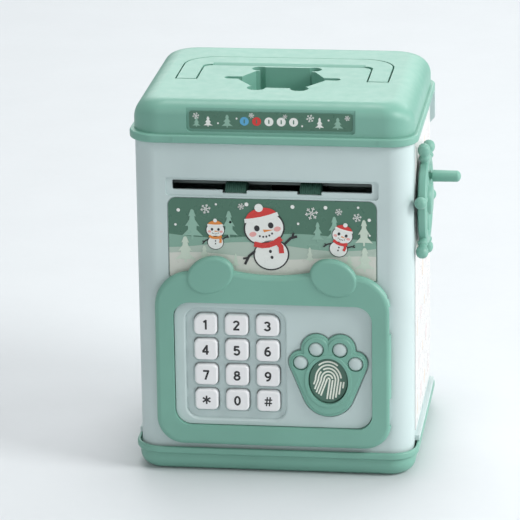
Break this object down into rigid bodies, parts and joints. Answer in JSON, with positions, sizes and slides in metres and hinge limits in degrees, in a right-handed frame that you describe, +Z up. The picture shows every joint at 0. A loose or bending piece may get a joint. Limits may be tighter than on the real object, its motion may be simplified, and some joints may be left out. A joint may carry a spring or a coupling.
{
  "type": "toy safe coin bank",
  "caption": "Toy safe coin bank with keypad door, paw-shaped print reader, note slot with feed rollers, coin well, carry handle and side wheel that works the latch.",
  "frame": {"origin": "centre of the flat underside", "axes": "+Z up, the door faces -Y, the hand wheel is on +X"},
  "size_m": [0.1545, 0.1222, 0.1846],
  "materials": {
    "green_plastic": "satin",
    "pale_plastic": "satin",
    "key_white": "satin",
    "printed_sheet": "gloss",
    "side_sheet": "gloss",
    "roller_rubber": "matte",
    "membrane_rubber": "matte",
    "steel": "satin",
    "gear_nylon": "satin",
    "circuit_green": "satin",
    "black_plastic": "satin",
    "lens_plastic": "gloss"
  },
  "bodies": {
    "casing": {"base_tray": "green_plastic", "front_shell": "pale_plastic", "rear_shell": "pale_plastic", "top_lid": "green_plastic", "picture_sticker": "printed_sheet", "lid_sticker": "printed_sheet", "side_sticker_left": "side_sheet", "side_sticker_right": "side_sheet", "handle_pin_left": "steel", "handle_pin_right": "steel", "roller_bracket_left": "pale_plastic", "roller_bracket_right": "pale_plastic", "feed_motor": "steel", "note_guide": "pale_plastic", "lock_solenoid": "steel", "battery_box": "black_plastic", "switch_body": "black_plastic", "speaker": "black_plastic", "hinge_pin_upper": "steel", "hinge_pin_lower": "steel"},
    "door": {"door_frame": "green_plastic", "door_panel": "pale_plastic", "door_back_cover": "pale_plastic", "key_mat": "membrane_rubber", "circuit_board": "circuit_green", "paw_bezel": "green_plastic", "toe_lens_1": "lens_plastic", "toe_lens_2": "lens_plastic", "toe_lens_3": "lens_plastic", "toe_lens_4": "lens_plastic"},
    "handle": {"carry_handle": "green_plastic"},
    "feed": {"feed_shaft": "steel", "feed_roller_left": "roller_rubber", "feed_roller_right": "roller_rubber"},
    "pinch": {"pinch_shaft": "steel", "pinch_roller_left": "roller_rubber", "pinch_roller_right": "roller_rubber"},
    "idler": {"idler_gear": "gear_nylon"},
    "motor_shaft": {"motor_pinion": "steel"},
    "wheel": {"hand_wheel": "green_plastic", "crank_peg": "green_plastic", "wheel_shaft": "steel"},
    "latch": {"latch_bar": "black_plastic"},
    "plunger": {"lock_plunger": "steel"},
    "reader": {"print_button": "green_plastic"},
    "battery_door": {"battery_cover": "pale_plastic", "battery_cover_screw": "steel"},
    "switch": {"switch_knob": "black_plastic"},
    "key_body_1": {"key_1": "key_white"},
    "key_body_2": {"key_2": "key_white"},
    "key_body_3": {"key_3": "key_white"},
    "key_body_4": {"key_4": "key_white"},
    "key_body_5": {"key_5": "key_white"},
    "key_body_6": {"key_6": "key_white"},
    "key_body_7": {"key_7": "key_white"},
    "key_body_8": {"key_8": "key_white"},
    "key_body_9": {"key_9": "key_white"},
    "key_body_star": {"key_star": "key_white"},
    "key_body_0": {"key_0": "key_white"},
    "key_body_hash": {"key_hash": "key_white"}
  },
  "joints": [
    {"name": "door_swing", "type": "hinge", "parent": "casing", "child": "door", "pos_m": [0.0541, -0.05965, 0.057], "axis": [0, 0, 1], "range_deg": [0, 95]},
    {"name": "handle_lift", "type": "hinge", "parent": "casing", "child": "handle", "pos_m": [0, -0.0125, 0.1823], "axis": [1, 0, 0], "range_deg": [0, 92]},
    {"name": "wheel_turn", "type": "hinge", "parent": "casing", "child": "wheel", "pos_m": [0, -0.024, 0.1299], "axis": [1, 0, 0], "range_deg": [0, 54]},
    {"name": "latch_slide", "type": "slide", "parent": "casing", "child": "latch", "axis": [0, 0, -1], "range_m": [0, 0.00659]},
    {"name": "plunger_slide", "type": "slide", "parent": "casing", "child": "plunger", "axis": [0, -1, 0], "range_m": [0, 0.002]},
    {"name": "feed_spin", "type": "hinge", "parent": "casing", "child": "feed", "pos_m": [0, -0.048, 0.1374], "axis": [1, 0, 0], "continuous": true},
    {"name": "pinch_spin", "type": "hinge", "parent": "casing", "child": "pinch", "pos_m": [0, -0.048, 0.1488], "axis": [1, 0, 0], "continuous": true},
    {"name": "idler_spin", "type": "hinge", "parent": "casing", "child": "idler", "pos_m": [0.057, -0.04038, 0.133], "axis": [1, 0, 0], "continuous": true},
    {"name": "motor_spin", "type": "hinge", "parent": "casing", "child": "motor_shaft", "pos_m": [0.057, -0.043, 0.12069], "axis": [1, 0, 0], "continuous": true},
    {"name": "reader_press", "type": "slide", "parent": "door", "child": "reader", "axis": [0, 1, 0], "range_m": [0, 0.0008], "stiffness_N_per_m": 300, "springref_m": -0.0003},
    {"name": "battery_cover_off", "type": "slide", "parent": "casing", "child": "battery_door", "axis": [0, 1, 0], "range_m": [0, 0.02]},
    {"name": "power_slide", "type": "slide", "parent": "casing", "child": "switch", "axis": [1, 0, 0], "range_m": [0, 0.0032]},
    {"name": "press_1", "type": "slide", "parent": "door", "child": "key_body_1", "axis": [0, 1, 0], "range_m": [0, 0.0012], "stiffness_N_per_m": 250, "springref_m": -0.0003},
    {"name": "press_2", "type": "slide", "parent": "door", "child": "key_body_2", "axis": [0, 1, 0], "range_m": [0, 0.0012], "stiffness_N_per_m": 250, "springref_m": -0.0003},
    {"name": "press_3", "type": "slide", "parent": "door", "child": "key_body_3", "axis": [0, 1, 0], "range_m": [0, 0.0012], "stiffness_N_per_m": 250, "springref_m": -0.0003},
    {"name": "press_4", "type": "slide", "parent": "door", "child": "key_body_4", "axis": [0, 1, 0], "range_m": [0, 0.0012], "stiffness_N_per_m": 250, "springref_m": -0.0003},
    {"name": "press_5", "type": "slide", "parent": "door", "child": "key_body_5", "axis": [0, 1, 0], "range_m": [0, 0.0012], "stiffness_N_per_m": 250, "springref_m": -0.0003},
    {"name": "press_6", "type": "slide", "parent": "door", "child": "key_body_6", "axis": [0, 1, 0], "range_m": [0, 0.0012], "stiffness_N_per_m": 250, "springref_m": -0.0003},
    {"name": "press_7", "type": "slide", "parent": "door", "child": "key_body_7", "axis": [0, 1, 0], "range_m": [0, 0.0012], "stiffness_N_per_m": 250, "springref_m": -0.0003},
    {"name": "press_8", "type": "slide", "parent": "door", "child": "key_body_8", "axis": [0, 1, 0], "range_m": [0, 0.0012], "stiffness_N_per_m": 250, "springref_m": -0.0003},
    {"name": "press_9", "type": "slide", "parent": "door", "child": "key_body_9", "axis": [0, 1, 0], "range_m": [0, 0.0012], "stiffness_N_per_m": 250, "springref_m": -0.0003},
    {"name": "press_star", "type": "slide", "parent": "door", "child": "key_body_star", "axis": [0, 1, 0], "range_m": [0, 0.0012], "stiffness_N_per_m": 250, "springref_m": -0.0003},
    {"name": "press_0", "type": "slide", "parent": "door", "child": "key_body_0", "axis": [0, 1, 0], "range_m": [0, 0.0012], "stiffness_N_per_m": 250, "springref_m": -0.0003},
    {"name": "press_hash", "type": "slide", "parent": "door", "child": "key_body_hash", "axis": [0, 1, 0], "range_m": [0, 0.0012], "stiffness_N_per_m": 250, "springref_m": -0.0003}
  ],
  "couplings": [
    {"joint": "wheel_turn", "follows": "latch_slide", "rad_per_m": 142.86},
    {"joint": "pinch_spin", "follows": "feed_spin", "ratio": -1.2},
    {"joint": "idler_spin", "follows": "feed_spin", "ratio": -1.2},
    {"joint": "motor_spin", "follows": "feed_spin", "ratio": 3.84}
  ]
}
